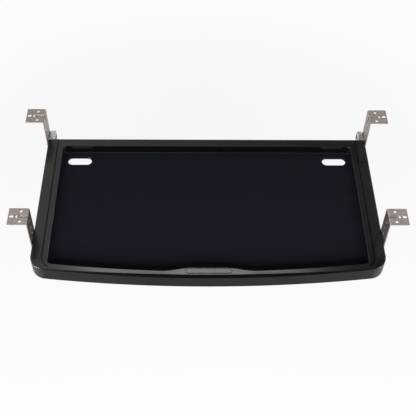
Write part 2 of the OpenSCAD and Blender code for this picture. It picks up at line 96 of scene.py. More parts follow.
class DrawerSizes(bpy.types.PropertyGroup):
    """Sizes of the moulded drawer"""

    wall: mm("Wall", 2.5, "Thickness of the moulded walls")
    corner_radius: mm("Front corner", 24, "Radius of the front corners")
    back_radius: mm("Back corner", 4, "Radius of the back corners")
    front_bow: mm("Front bow", 16.4, "Bow of the front")
    crease_bow: mm("Crease bow", 12.1, "Bow of the crease")
    crease_run: mm("Crease setback", 4.5, "Front to crease, at the middle")
    crease_drop: mm("Crease drop", 3, "Height of the sloping band")
    lip_drop: mm("Lip drop", 1, "Fall of the front rim")
    side_drop: mm("Side drop", 0.4, "Fall of the side rims")
    edge_radius: mm("Bottom edge", 1.2, "Rounding of the bottom edge")
    crease_radius: mm("Crease rounding", 0.42, "Rounding of the crease")
    brow_radius: mm("Brow rounding", 0.3, "Rounding below the sloping band")
    lip_radius: mm("Recess edge", 0.8, "Rounding of the recess's edge")
    floor_radius: mm("Recess fillet", 1.6, "Fillet around the recess's floor")
    side_rim: mm("Side rim", 25.7, "Width of the side rims")
    recess_depth: mm("Recess depth", 15, "Depth below the rim")
    recess_draft: mm("Recess draft", 0.4, "Lean of the recess's walls")
    front_rim: mm("Front rim", 9.9, "Width of the front rim without its swelling")
    recess_bow: mm("Recess bow", 14.2, "Bow of the recess's front")
    back_rim: mm("Back rim", 16, "Width of the back rim")
    recess_radius: mm("Recess corner", 6, "Radius of the recess's corners")
    swell: mm("Swelling", 6.6, "Swelling of the front rim at the plate")
    swell_flat: mm("Full swelling", 22, "Half width of the full swelling")
    swell_end: mm("End of swelling", 68, "Half width where it has died away")
    rim_band: mm("Outer band", 15.7, "Rim outside the groove")
    groove_width: mm("Groove width", 1.6, "Width of the rim's groove")
    groove_depth: mm("Groove depth", 1.2, "Depth of the rim's groove")
    groove_flare: mm("Groove flare", 0.3, "Softening of the groove's edges")
    slot_length: mm("Cable slot length", 38, "Length of each cable slot")
    slot_width: mm("Cable slot width", 15, "Width of each cable slot")
    slot_inset: mm("Cable slot inset", 27, "Recess's side to a slot's middle")
    slot_setback: mm("Cable slot setback", 35.5, "Back edge to the slots' middle")
    slot_flare: mm("Cable slot flare", 0.6, "Softening of the slots' edges")
    rib_width: mm("Rib width", 1.6, "Thickness of the ribs")
    rib_height: mm("Rib height", 4.5, "Height of the ribs")
    boss_width: mm("Boss width", 8, "Diameter of the screw bosses")
    boss_hole: mm("Boss hole", 3.1, "Diameter of the bosses' holes")
    boss_hole_depth: mm("Boss hole depth", 8, "Depth of the bosses' holes")
    plate_width: mm("Plate width", 7.5, "Width of the name plate")
    plate_gap: mm("Plate gap", 0.55, "Gap around the name plate")
    pocket_depth: mm("Pocket depth", 1.1, "Depth of the plate's pocket")


class HardwareSizes(bpy.types.PropertyGroup):
    """Sizes of the brackets, slides and fasteners"""

    sheet: mm("Bracket sheet", 1.5, "Thickness of the bracket sheet")
    bend: mm("Bracket bend", 2.7, "Outer radius of the bend")
    flange_hole: mm("Screw hole", 4.5, "Diameter of the flange's round holes")
    flange_hole_reach: mm("Screw hole reach", 11.4, "Leg to the round holes")
    flange_hole_side: mm("Screw hole side", 9.4, "Bracket's middle to the round holes")
    slot_length: mm("Flange slot length", 6.6, "Length of the slotted hole")
    slot_width: mm("Flange slot width", 4.8, "Width of the slotted hole")
    slot_reach: mm("Flange slot reach", 24.2, "Leg to the slotted hole")
    press_reach: mm("Pressed rib reach", 15.5, "Reach of the rib along flange and leg")
    press_width: mm("Pressed rib width", 5, "Inside width of the rib")
    press_depth: mm("Pressed rib depth", 2.6, "Depth of the rib")
    height_hole: mm("Height hole", 4.4, "Diameter of the height-setting holes")
    height_hole_top: mm("First height hole", 26, "Desk to the first height-setting hole")
    height_hole_pitch: mm("Height hole step", 12.7, "Step between these holes")
    member: mm("Slide sheet", 1.2, "Thickness of the slide members")
    roll: mm("Slide bend", 2.2, "Outer radius of their bends")
    cage_sheet: mm("Cage sheet", 0.6, "Thickness of the cage strip")
    ball: mm("Ball", 4, "Diameter of the balls")
    bolt: mm("Bolt", 4, "Shank diameter of the bolts")
    bolt_head: mm("Bolt head", 8.4, "Head diameter of the bolts")
    nut: mm("Nut", 7, "Width across the nuts' flats")
    screw: mm("Runner screw", 3, "Shank diameter of the runners' screws")
    screw_head: mm("Runner screw head", 6.6, "Head diameter of the runners' screws")


class FinishColours(bpy.types.PropertyGroup):
    """Colours of the finishes"""

    plastic: colour("Moulded plastic", (0.0022, 0.0022, 0.0025), "Black moulded plastic")
    grained: colour("Grained floor", (0.0098, 0.0114, 0.0168), "Blue-black of the grained recess floor")
    plate: colour("Name plate", (0.03, 0.029, 0.03), "Dark grey of the blank plate")
    zinc: colour("Bracket zinc", (0.335, 0.287, 0.264), "Zinc plating of the brackets")
    bright_zinc: colour("Slide zinc", (0.6, 0.605, 0.61), "Bright zinc plating of the slides")
    fastener: colour("Fasteners", (0.55, 0.55, 0.54), "Plating of the bolts, nuts and screws")
    cage: colour("Ball cage", (0.48, 0.46, 0.42), "Pressed strip of the ball cages")
    ball: colour("Balls", (0.8, 0.8, 0.81), "Polished steel balls")
    rubber: colour("Rubber", (0.02, 0.02, 0.02), "Black rubber bumpers")
    floor: colour("Studio floor", (0.9, 0.9, 0.9), "Pale floor of the studio")


class StageSettings(bpy.types.PropertyGroup):
    """Camera and floor"""

    lens: bpy.props.FloatProperty(
        name="Lens", description="Focal length on a 36 mm sensor", default=71.01, min=1, unit="CAMERA")
    floor_level: mm("Floor level", -520, "Height of the studio floor")


def sizes():
    return bpy.context.scene.drawer_sizes


def hardware():
    return bpy.context.scene.drawer_hardware


def colours():
    return bpy.context.scene.drawer_colours


def smooth(s):
    """Eases a value between zero and one."""
    s = min(1, max(0, s))
    return s * s * (3 - 2 * s)


def nudge(bm, verts, offset):
    """Moves vertices."""
    ops.translate(bm, verts=verts, vec=offset)


def draw_line(bm, tip, end, steps=1):
    """Extrudes a vertex along a straight line, and returns its last vertex."""
    step = (Vector(end) - tip.co) / steps
    for _ in range(steps):
        tip = ops.extrude_vert_indiv(bm, verts=[tip])["verts"][0]
        nudge(bm, [tip], step)
    return tip


def turn(bm, geom, centre, angle, steps, axis=(0, 0, 1), merge=False):
    """Spins geometry about a centre, and returns the last step."""
    return ops.spin(
        bm, geom=geom, cent=centre, axis=axis, dvec=(0, 0, 0), angle=angle, steps=steps, use_duplicate=False,
        use_merge=merge)["geom_last"]


def draw_arc(bm, tip, centre, angle, steps, axis=(0, 0, 1)):
    """Turns a vertex about a centre, and returns its last vertex."""
    return next(g for g in turn(bm, [tip], centre, angle, steps, axis) if isinstance(g, bmesh.types.BMVert))


def close_loop(bm, first, tip, before):
    """Welds the two ends of a drawn line, and returns the loop's edges."""
    ops.remove_doubles(bm, verts=[first, tip], dist=WELD)
    return [e for e in bm.edges if e not in before]


def bowed_front(half, front, bow, radius):
    """Radius of a bowed front, and the place from front to back where its corners begin."""
    big = (half * half + bow * bow) / (2 * bow)
    return big, front + big - math.sqrt((big - radius) ** 2 - (half - radius) ** 2)


def draw_outline(bm, half, front, bow, radius, back, back_radius, height):
    """Draws a level outline with a bowed front, and returns its edges."""
    before = set(bm.edges)
    big, corner_y = bowed_front(half, front, bow, radius)
    bowed = math.asin((half - radius) / (big - radius))
    back_y = back - back_radius
    first = bm.verts.new((half, back_y, height))
    tip = draw_arc(bm, first, (half - back_radius, back_y, height), math.pi / 2, CORNER_STEPS)
    tip = draw_line(bm, tip, (back_radius - half, back, height))
    tip = draw_arc(bm, tip, (back_radius - half, back_y, height), math.pi / 2, CORNER_STEPS)
    tip = draw_line(bm, tip, (-half, corner_y, height), SIDE_STEPS)
    tip = draw_arc(bm, tip, (radius - half, corner_y, height), math.pi / 2 - bowed, CORNER_STEPS)
    tip = draw_arc(bm, tip, (0, front + big, height), 2 * bowed, BOW_STEPS)
    tip = draw_arc(bm, tip, (half - radius, corner_y, height), math.pi / 2 - bowed, CORNER_STEPS)
    tip = draw_line(bm, tip, first.co, SIDE_STEPS)
    return close_loop(bm, first, tip, before)


def draw_stadium(bm, centre, long, wide, height):
    """Draws a level slot outline, long from side to side, and returns its edges."""
    before = set(bm.edges)
    x, y = centre
    run = (long - wide) / 2
    first = bm.verts.new((x + run, y - wide / 2, height))
    tip = draw_arc(bm, first, (x + run, y, height), math.pi, ROUND_STEPS // 2)
    tip = draw_line(bm, tip, (x - run, y + wide / 2, height))
    tip = draw_arc(bm, tip, (x - run, y, height), math.pi, ROUND_STEPS // 2)
    tip = draw_line(bm, tip, first.co)
    return close_loop(bm, first, tip, before)


def enclose(bm, *loops):
    """Joins loops of equal length one after the other, and closes the first and the last with a face."""
    for lower, upper in zip(loops, loops[1:]):
        ops.bridge_loops(bm, edges=lower + upper)
    for loop in (loops[0], loops[-1]):
        ops.contextual_create(bm, geom=loop)


def verts_of(parts):
    """The vertices of some edges or faces."""
    return list({v for part in parts for v in part.verts})


def soften(bm, edges, radius, steps=3):
    """Rounds edges over."""
    ops.bevel(
        bm, geom=[e for e in edges if e.is_valid], offset=radius, offset_type="OFFSET", segments=steps, profile=0.5,
        affect="EDGES", clamp_overlap=False, loop_slide=True, material=-1)


def move_new(bm, before, matrix):
    """Moves the vertices that were made since."""
    ops.transform(bm, matrix=matrix, verts=[v for v in bm.verts if v not in before])


def push(bm, face, offset):
    """Extrudes a free face into a solid, and returns the far face."""
    made = ops.extrude_face_region(bm, geom=[face])["geom"]
    nudge(bm, [g for g in made if isinstance(g, bmesh.types.BMVert)], offset)
    return next(g for g in made if isinstance(g, bmesh.types.BMFace))


def add_face(bm, points):
    """Adds one face through a few points."""
    return bm.faces.new([bm.verts.new(p) for p in points])


def add_box(bm, corner, opposite):
    """Adds a box between two corners."""
    made = ops.create_cube(bm, size=1)["verts"]
    corner, opposite = Vector(corner), Vector(opposite)
    ops.scale(bm, verts=made, vec=[abs(side) for side in opposite - corner])
    nudge(bm, made, (corner + opposite) / 2)
    return made


def add_drum(bm, middle, tall, wide, steps=ROUND_STEPS):
    """Adds an upright closed cylinder around its middle."""
    made = ops.create_cone(
        bm, cap_ends=True, segments=steps, radius1=wide / 2, radius2=wide / 2, depth=tall)["verts"]
    nudge(bm, made, middle)
    return made


def add_rod(bm, start, long, wide, steps=ROUND_STEPS):
    """Adds a closed cylinder that starts at a point and runs along X."""
    made = add_drum(bm, (0, 0, 0), abs(long), wide, steps)
    ops.rotate(bm, verts=made, cent=(0, 0, 0), matrix=Matrix.Rotation(math.pi / 2, 3, "Y"))
    nudge(bm, made, Vector(start) + Vector((long / 2, 0, 0)))


def add_stadium(bm, centre, long, wide, low, high):
    """Adds an upright slot-shaped solid, and returns its upper edges."""
    loops = [draw_stadium(bm, centre, long, wide, level) for level in (low, high)]
    enclose(bm, *loops)
    return loops[1]


def add_lathe(bm, points):
    """Adds a solid turned about X, through points of place and radius that start and end on the axis."""
    tip = bm.verts.new((*points[0], 0))
    for point in points[1:]:
        tip = draw_line(bm, tip, (*point, 0))
    turn(bm, [*bm.verts, *bm.edges], (0, 0, 0), 2 * math.pi, ROUND_STEPS, axis=(1, 0, 0), merge=True)
    ops.remove_doubles(bm, verts=bm.verts, dist=WELD / 2)


def walk(bm, tip, heading, moves):
    """Draws a path of straight runs, each with a turn after it, and returns its last vertex."""
    for run, radius, angle in moves:
        if run:
            tip = draw_line(bm, tip, tip.co + Vector((math.cos(heading), math.sin(heading), 0)) * run)
        if radius:
            side = heading + math.copysign(math.pi / 2, angle)
            centre = tip.co + Vector((math.cos(side), math.sin(side), 0)) * radius
            tip = draw_arc(bm, tip, centre, math.radians(angle), 6)
        heading += math.radians(angle)
    return tip


def add_sheet(bm, start, heading, moves, thickness, low, high):
    """Adds bent sheet metal. Its path is drawn in X and Z with the metal on its left, and it runs along Y."""
    before, verts_before = set(bm.edges), set(bm.verts)
    first = bm.verts.new((*start, 0))
    path = [*moves, (0, 0, 90), (thickness, 0, 90)]
    for run, radius, angle in reversed(moves):
        path += [(0, angle and radius - math.copysign(thickness, angle), -angle), (run, 0, 0)]
    tip = draw_line(bm, walk(bm, first, math.radians(heading), path), first.co)
    face = ops.contextual_create(bm, geom=close_loop(bm, first, tip, before))["faces"][0]
    move_new(bm, verts_before, Matrix.Translation((0, low, 0)) @ Matrix.Rotation(math.pi / 2, 4, "X"))
    push(bm, face, (0, high - low, 0))


def piece_from(bm, name):
    """Makes an object of a bmesh, with its faces pointing outwards."""
    ops.recalc_face_normals(bm, faces=bm.faces)
    mesh = bpy.data.meshes.new(name)
    bm.to_mesh(mesh)
    bm.free()
    made = bpy.data.objects.new(name, mesh)
    bpy.context.scene.collection.objects.link(made)
    return made


def shape_of(name, add, *values):
    """Makes an object of one shape that a function adds."""
    bm = bmesh.new()
    add(bm, *values)
    return piece_from(bm, name)


def settle(target):
    """Applies a piece's modifiers."""
    shape = target.evaluated_get(bpy.context.evaluated_depsgraph_get())
    mesh = bpy.data.meshes.new_from_object(shape)
    old = target.data
    target.modifiers.clear()
    target.data = mesh
    bpy.data.meshes.remove(old)
    mesh.name = target.name


def combine(target, tool, how="DIFFERENCE"):
    """Cuts a tool from a piece, joins it on, or keeps what both hold. The tool is then gone."""
    cut = target.modifiers.new("Cut", "BOOLEAN")
    cut.operation, cut.object, cut.solver = how, tool, "EXACT"
    settle(target)
    bpy.data.meshes.remove(tool.data)
    return target


@contextmanager
def tool_for(target, how="DIFFERENCE"):
    """Gives a bmesh to draw a tool in, and then combines the tool with a piece."""
    bm = bmesh.new()
    yield bm
    combine(target, piece_from(bm, "tool"), how)


@contextmanager
def mesh_of(made):
    """Gives a bmesh of a piece to change."""
    bm = bmesh.new()
    bm.from_mesh(made.data)
    yield bm
    bm.to_mesh(made.data)
    bm.free()


def clean(made):
    """Welds the slivers that cutting leaves."""
    with mesh_of(made) as bm:
        ops.remove_doubles(bm, verts=bm.verts, dist=WELD)
        ops.dissolve_degenerate(bm, edges=bm.edges, dist=WELD)
    return made


def ease_edges(made, radius):
    """Breaks a metal piece's sharp edges."""
    edge = made.modifiers.new("Broken edges", "BEVEL")
    edge.width, edge.segments, edge.use_clamp_overlap = radius, 2, False
    edge.limit_method, edge.angle_limit = "ANGLE", math.radians(50)


def finish_piece(made, body, material, node):
    """Shades a finished piece, gives it its body and its finish, and hides the frame node that it stands for."""
    made.data.materials.clear()
    made.data.materials.append(material)
    made.data.shade_smooth()
    made.data.set_sharp_from_angle(angle=CRISP_ANGLE)
    made.modifiers.new("Even shading", "WEIGHTED_NORMAL").keep_sharp = True
    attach(made, body)
    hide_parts(node)


def place_pair(source, name, node, places, body, material, edge=0):
    """Makes a left and a right piece of copies of a right hand source. A piece without a body rides on its cage."""
    for side, hand in HANDS:
        bm = bmesh.new()
        for place in places:
            before = set(bm.verts)
            bm.from_mesh(source.data)
            move_new(bm, before, Matrix.Translation(place))
        ops.scale(bm, verts=bm.verts, vec=(side, 1, 1))
        made = piece_from(bm, f"{name}_{hand}")
        if edge:
            ease_edges(made, edge * MM)
        finish_piece(made, body or f"cage_{hand}", material, f"{node}_{hand}")


class Nodes:
    """Adds nodes to a tree. An input takes a number, a colour or another node's output."""

    def __init__(self, tree):
        self.tree = tree

    def feed(self, node, inputs):
        """Fills a node's inputs, given by name or in order."""
        for key, value in inputs.items() if isinstance(inputs, dict) else enumerate(inputs):
            socket = node.inputs[key]
            if isinstance(value, bpy.types.NodeSocket):
                self.tree.links.new(value, socket)
            else:
                socket.default_value = (*value, 1) if socket.type == "RGBA" else value

    def add(self, kind, inputs=(), **settings):
        """Adds a node, and returns its outputs."""
        node = self.tree.nodes.new("ShaderNode" + kind)
        for key, value in settings.items():
            setattr(node, key, value)
        self.feed(node, inputs)
        return node.outputs

    def math(self, how, *values):
        return self.add("Math", values, operation=how)[0]

    def plus(self, a, b):
        return self.math("ADD", a, b)

    def times(self, product, *factors):
        for factor in factors:
            product = self.math("MULTIPLY", product, factor)
        return product

    def remap(self, value, low, high, to_low=0.0, to_high=1.0):
        limits = {"From Min": low, "From Max": high, "To Min": to_low, "To Max": to_high}
        return self.add("MapRange", {"Value": value, **limits})[0]

    def noise(self, vector, scale, detail=4.0, roughness=0.55):
        return self.add("TexNoise", {"Vector": vector, "Scale": scale, "Detail": detail, "Roughness": roughness})["Fac"]

    def axes(self, vector):
        return self.add("SeparateXYZ", (vector,))

    def mix(self, factor, a, b, kind="FLOAT"):
        return self.add("Mix", {"Factor": factor, "A": a, "B": b}, data_type=kind)["Result"]

    def lay(self, mask, under, over):
        """Lays one colour over another by a mask."""
        return self.mix(mask, under, over, "RGBA")

    def bump(self, height, depth):
        """Raises the surface by a height map, with its depth in metres."""
        return self.add("Bump", {"Height": height, "Distance": depth})["Normal"]

    def effect(self, name, vector, **values):
        """Places a shared effect with the material's own values."""
        return self.add("Group", {"Vector": vector, **values}, node_tree=shared_group(name))


def mould_grain(n, vector, scale):
    """The fine grain that a mould leaves on plastic."""
    cells = n.add("TexVoronoi", {"Vector": vector, "Scale": scale}, feature="SMOOTH_F1")
    return [n.plus(n.times(cells["Distance"], 0.6), n.noise(vector, scale, 3.0))]


def handling_marks(n, vector, scale):
    """Faint smudges and dust, which change slowly over the surface."""
    broad = n.noise(vector, scale, 5.0, 0.6)
    specks = n.noise(vector, n.times(scale, 60.0), 2.0)
    return n.remap(broad, 0.35, 0.7), n.times(n.remap(specks, 0.66, 0.74), n.remap(broad, 0.4, 0.7))


def edge_wear(n, vector, radius, scale):
    """The convex edges, broken up as by rubbing."""
    normals = n.add("Bevel", {"Radius": radius}, samples=4)["Normal"], n.add("NewGeometry")["Normal"]
    turned = n.add("VectorMath", normals, operation="DOT_PRODUCT")["Value"]
    return [n.times(n.remap(turned, 0.995, 0.8), n.remap(n.noise(vector, scale), 0.35, 0.6))]


def painted_crevice_shade(n, vector, reach, scale):
    """Painted shade in grooves and narrow gaps, taken from ambient occlusion and broken up a little."""
    sky = n.add("AmbientOcclusion", {"Distance": reach}, samples=8)["AO"]
    return [n.remap(n.plus(sky, n.times(n.noise(vector, scale), 0.1)), 0.95, 0.6)]


def zinc_bloom(n, vector, scale):
    """The faint cloudy crystals and rolling lines of plated steel."""
    cells = n.add("TexVoronoi", {"Vector": vector, "Scale": scale}, feature="F1")
    shade = n.add("SeparateColor", (cells["Color"],))[0]
    broad = n.noise(vector, n.times(scale, 0.2), 5.0)
    stretched = n.add("Mapping", {"Vector": vector, "Scale": (12.0, 0.35, 12.0)})["Vector"]
    return n.plus(n.times(shade, 0.35), n.times(broad, 0.65)), n.remap(n.noise(stretched, scale, 3.0), 0.3, 0.7)


EFFECTS = {
    "Mould grain": (mould_grain, {"Scale": 1800.0}, ("Height",)),
    "Handling marks": (handling_marks, {"Scale": 14.0}, ("Smudges", "Dust")),
    "Edge wear": (edge_wear, {"Radius": 0.0006, "Scale": 160.0}, ("Mask",)),
    # Painted shade in grooves and narrow gaps, from ambient occlusion.
    "Painted crevice shade": (painted_crevice_shade, {"Reach": 0.003, "Scale": 300.0}, ("Shade",)),
    "Zinc bloom": (zinc_bloom, {"Scale": 220.0}, ("Clouds", "Lines")),
}


def shared_group(name):
    """Returns a shared effect, which becomes a node group with named sockets when a material first needs it."""
    if name in bpy.data.node_groups:
        return bpy.data.node_groups[name]
    make, values, results = EFFECTS[name]
    group = bpy.data.node_groups.new(name, "ShaderNodeTree")
    group.interface.new_socket("Vector", in_out="INPUT", socket_type="NodeSocketVector")
    for label, value in values.items():
        group.interface.new_socket(label, in_out="INPUT", socket_type="NodeSocketFloat").default_value = value
    for label in results:
        group.interface.new_socket(label, in_out="OUTPUT", socket_type="NodeSocketFloat")
    n, start = Nodes(group), group.nodes.new("NodeGroupInput").outputs
    n.feed(group.nodes.new("NodeGroupOutput"), make(n, start["Vector"], *(start[label] for label in values)))
    return group


def new_material(name):
    """Starts a material, and returns it with its nodes, its shader and the object's coordinates."""
    material = bpy.data.materials.new(name)
    material.use_nodes = True
    n = Nodes(material.node_tree)
    return material, n, n.tree.nodes["Principled BSDF"], n.add("TexCoord")["Object"]


def lighter(shade, factor):
    return tuple(min(1, c * factor) for c in shade)


def moulded_plastic(name, shade, level=None, matt_shade=None):
    """Plastic with a satin skin, dullest on the upright front, with painted shade that darkens it and dulls its coat in
    grooves and narrow gaps. What faces up at a given level is matt and grained.
    """
    material, n, shader, place = new_material(name)
    height = n.effect("Mould grain", place, Scale=1500.0)["Height"]
    marks = n.effect("Handling marks", place, Scale=11.0)
    wear = n.effect("Edge wear", place, Radius=0.0005, Scale=260.0)["Mask"]
    # Painted shade: this mask is one in grooves and narrow gaps, where it darkens the colour and dulls the coat.
    hollow = n.effect("Painted crevice shade", place, Reach=0.003)["Shade"]
    way = n.axes(n.add("NewGeometry")["Normal"])
    facing, sideways = n.math("ABSOLUTE", way["Z"]), n.math("ABSOLUTE", way["X"])
    base = n.lay(wear, shade, lighter(shade, 2.5))
    upright = n.times(n.remap(sideways, 0.04, 0.3, 0.32, 0.62), n.remap(facing, 0.2, 0.5, 1, 0))
    skin = n.plus(upright, n.remap(facing, 0.2, 0.5))
    # The painted shade also takes the coat away in grooves and narrow gaps.
    gloss = n.times(n.remap(marks["Smudges"], 0, 1, 1.0, 0.86), n.remap(hollow, 0, 1, 1, 0), skin)
    if level is not None:
        spot = n.axes(place)
        flat = n.times(n.remap(spot["Z"], level + 4 * MM, level + 1 * MM), n.remap(way["Z"], 0.4, 0.8))
        below = n.remap(spot["Z"], tray_high.z, tray_high.z - MM)
        inner = n.math("LESS_THAN", n.math("ABSOLUTE", spot["X"]), recess_half() + MM / 2)
        above = n.math("GREATER_THAN", spot["Z"], level - MM / 2)
        matt = n.math("MAXIMUM", flat, n.times(n.remap(sideways, 0.5, 0.8), below, inner, above))
        base = n.lay(matt, base, matt_shade)
        gloss = n.times(gloss, n.remap(matt, 0, 1, 1, 0))
        height = n.times(height, n.remap(matt, 0, 1, 1.0, 4.0))
    dusty = n.lay(n.times(marks["Dust"], 0.08), base, (0.07, 0.07, 0.07))
    # Painted shade darkens the colour to a third of the plastic's shade in grooves and narrow gaps.
    n.feed(shader, {
        "Base Color": n.lay(hollow, dusty, lighter(shade, 0.3)),
        "Roughness": n.remap(marks["Smudges"], 0, 1, 0.5, 0.62),
        "Specular IOR Level": 0.02, "Coat Weight": gloss, "Coat Roughness": 0.2, "Coat IOR": 1.55,
        "Normal": n.bump(height, 0.008 * MM)})
    return material


def plated_steel(name, shade, roughness, lines=0.3, scale=220.0, metallic=1.0, contrast=0.13):
    """Zinc plated steel with a faint bloom and rolling lines."""
    material, n, shader, place = new_material(name)
    bloom = n.effect("Zinc bloom", place, Scale=scale)
    wear = n.effect("Edge wear", place, Radius=0.0003, Scale=500.0)["Mask"]
    base = n.lay(bloom["Clouds"], lighter(shade, 1 - contrast), lighter(shade, 1 + contrast))
    mixed = n.plus(n.times(bloom["Clouds"], 1 - lines), n.times(bloom["Lines"], lines))
    n.feed(shader, {
        "Metallic": metallic, "Base Color": n.lay(n.times(wear, 0.6), base, lighter(shade, 1.35)),
        "Roughness": n.remap(mixed, 0.2, 0.8, roughness - 0.07, roughness + 0.09),
        "Normal": n.bump(mixed, 0.012 * MM)})
    return material


def rubber(name, shade):
    """Dull rubber with a little dust."""
    material, n, shader, place = new_material(name)
    marks = n.effect("Handling marks", place, Scale=60.0)
    n.feed(shader, {
        "Base Color": n.lay(marks["Dust"], shade, lighter(shade, 3)),
        "Roughness": n.remap(marks["Smudges"], 0, 1, 0.62, 0.78),
        "Normal": n.bump(n.effect("Mould grain", place, Scale=2500.0)["Height"], 0.01 * MM)})
    return material


def crease_front():
    return tray_low.y + sizes().crease_run


def recess_front():
    return tray_low.y + sizes().front_rim


def recess_half():
    return tray_high.x - sizes().side_rim


def draw_recess(bm, wall, height):
    """Draws the recess's outline, or one that lies a wall's thickness outside it."""
    size = sizes()
    edges = draw_outline(
        bm, recess_half() + wall, recess_front() - wall, size.recess_bow, size.recess_radius + wall,
        tray_high.y - size.back_rim + wall, size.recess_radius + wall, height)
    for v in verts_of(edges):
        if v.co.y < (tray_low.y + tray_high.y) / 2:
            swelling = size.swell * smooth((size.swell_end - abs(v.co.x)) / (size.swell_end - size.swell_flat))
            nudge(bm, [v], (0, swelling, 0))
    return edges


def make_block():
    """The drawer's outside, rim and recess, closed below."""
    size = sizes()
    half, front, back, radius = tray_high.x, tray_low.y, tray_high.y, size.corner_radius
    trim = size.edge_radius / 2
    crease = tray_high.z - size.lip_drop
    start = crease_front() + size.crease_bow
    bm = bmesh.new()
    foot, brow = (
        draw_outline(bm, half, front, size.front_bow, radius, back, size.back_radius, level)
        for level in (tray_low.z, crease - size.crease_drop))
    ridge = draw_outline(
        bm, half - trim, crease_front(), size.crease_bow, radius, back - trim, size.back_radius, crease)
    for loop in (ridge, brow):
        for v in verts_of(loop):
            rise = (size.lip_drop - size.side_drop) * smooth((v.co.y - start) / radius)
            if loop is brow:
                across = (v.co.x / half) ** 2 if v.co.y < start + radius else 1
                run = size.crease_run - (size.front_bow - size.crease_bow) * across
                rise += size.crease_drop - max(trim, size.crease_drop * run / size.crease_run)
            nudge(bm, [v], (0, 0, rise))
    lip = draw_recess(bm, 0, tray_high.z)
    floor = draw_recess(bm, -size.recess_draft, tray_high.z - size.recess_depth)
    enclose(bm, foot, brow, ridge, lip, floor)
    soften(bm, foot, size.edge_radius, 4)
    soften(bm, brow, size.brow_radius, 2)
    soften(bm, ridge, size.crease_radius, 3)
    soften(bm, lip, size.lip_radius, 4)
    soften(bm, floor, size.floor_radius, 4)
    return piece_from(bm, "drawer_shell")


def make_cavity():
    """The open space under the drawer, around its ribs and bosses."""
    size = sizes()
    wall, top, bottom = size.wall, tray_high.z, tray_low.z
    under = top - size.recess_depth - wall

    def inside(bm):
        enclose(bm, *(
            draw_outline(
                bm, tray_high.x - wall, crease_front() + wall, size.crease_bow, size.corner_radius - wall,
                tray_high.y - wall, size.back_radius - wall, level)
            for level in (bottom - OVERRUN, top - wall)))

    cavity = shape_of("tool", inside)
    with tool_for(cavity) as bm:
        enclose(bm, *(draw_recess(bm, wall, level) for level in (under, top)))
    inner, outer, nose = runner_low.x - wall, tray_high.x + OVERRUN, NOSE_BACK - wall
    corners = (
        (inner, nose), (outer, nose), (outer, NOSE_BACK), (runner_low.x, NOSE_BACK), (runner_low.x, tray_high.y),
        (inner, tray_high.y))
    with tool_for(cavity) as bm:
        for side in SIDES:
            wall_face = add_face(bm, [(side * x, y, bottom - 2 * OVERRUN) for x, y in corners])
            push(bm, wall_face, (0, 0, top - bottom + 2 * OVERRUN))
    front, back = recess_front() + size.swell + wall, tray_high.y - size.back_rim
    low, high, half = under - size.rib_height, under + wall / 2, size.rib_width / 2
    with tool_for(cavity) as bm:
        for s in range(-3, 4):
            add_box(bm, (s * inner / 4 - half, front, low), (s * inner / 4 + half, back, high))
    with tool_for(cavity) as bm:
        for s in (0.02, 0.35, 0.68, 0.98):
            y = front + (back - front) * s
            add_box(bm, (-inner - OVERRUN, y - half, low), (inner + OVERRUN, y + half, high))
    start = recess_half() + wall / 2
    with tool_for(cavity) as bm:
        for side in SIDES:
            for y in SCREW_PLACES:
                add_rod(bm, (side * start, y, SLIDE_LEVEL), side * (runner_low.x - start), size.boss_width)
    return cavity


def add_groove(bm, side):
    """Cutter for the groove along one side of the rim, which turns inwards at the front corner."""
    size = sizes()
    half, flare, deep, radius = size.groove_width / 2, size.groove_flare, size.groove_depth, size.corner_radius
    x = tray_high.x - size.rim_band - half
    _, corner_y = bowed_front(tray_high.x, tray_low.y, size.front_bow, radius)
    section = [(half + flare + OVERRUN, OVERRUN), (half, -flare), (half * 0.9, flare - deep), (half * 0.5, -deep)]
    section += [(-a, b) for a, b in reversed(section)]
    face = add_face(bm, [(side * (x + a), tray_high.y + OVERRUN, tray_high.z + b) for a, b in section])
    face = push(bm, face, (0, corner_y - tray_high.y - OVERRUN, 0))
    turn(bm, [face], (side * (x - radius + half), corner_y, 0), -side * math.radians(64), CORNER_STEPS)
    ops.delete(bm, geom=[face], context="FACES_ONLY")


def lip_frame():
    """Place and tilt of the sloping rim, in the middle of its swelling."""
    size = sizes()
    seen = recess_front() + size.swell - crease_front()
    deep = seen + 1.2 * MM
    middle = (0, crease_front() + seen / 2, tray_high.z - size.lip_drop + size.lip_drop * seen / deep / 2)
    return Matrix.Translation(middle) @ Matrix.Rotation(math.atan(size.lip_drop / deep), 4, "X")


class DRAWER_OT_shell(bpy.types.Operator):
    """Build the moulded drawer with its rim, recess, cable slots and ribs"""

    bl_idname = "keyboard_drawer.shell"
    bl_label = "Moulded drawer"

    def execute(self, context):
        size = sizes()
        shell = make_block()
        combine(shell, make_cavity())
        with tool_for(shell) as bm:
            for side in SIDES:
                add_box(
                    bm, (side * runner_low.x, NOSE_BACK, tray_low.z - OVERRUN),
                    (side * (tray_high.x + OVERRUN), tray_high.y + OVERRUN, tray_high.z - size.wall))
        floor = tray_high.z - size.recess_depth
        flare = size.slot_flare
        levels = ((0, floor - size.wall - OVERRUN), (0, floor - flare), (flare, floor), (flare, floor + OVERRUN))
        with tool_for(shell) as bm:
            for side in SIDES:
                middle = (side * (recess_half() - size.slot_inset), tray_high.y - size.slot_setback)
                enclose(bm, *(
                    draw_stadium(bm, middle, size.slot_length + 2 * out, size.slot_width + 2 * out, level)
                    for out, level in levels))
                add_groove(bm, side)
                for y in SCREW_PLACES:
                    start = (side * (runner_low.x + OVERRUN), y, SLIDE_LEVEL)
                    add_rod(bm, start, -side * (size.boss_hole_depth + OVERRUN), size.boss_hole)
            before = set(bm.verts)
            long, wide = (side + 2 * size.plate_gap for side in (PLATE_LENGTH, plate_high.y - plate_low.y))
            add_stadium(bm, (0, 0), long, wide, -size.pocket_depth, size.pocket_depth)
            move_new(bm, before, lip_frame())
        plastic = moulded_plastic("Moulded plastic", colours().plastic, floor, colours().grained)
        finish_piece(shell, "drawer", plastic, "tray_shell")
        return {"FINISHED"}


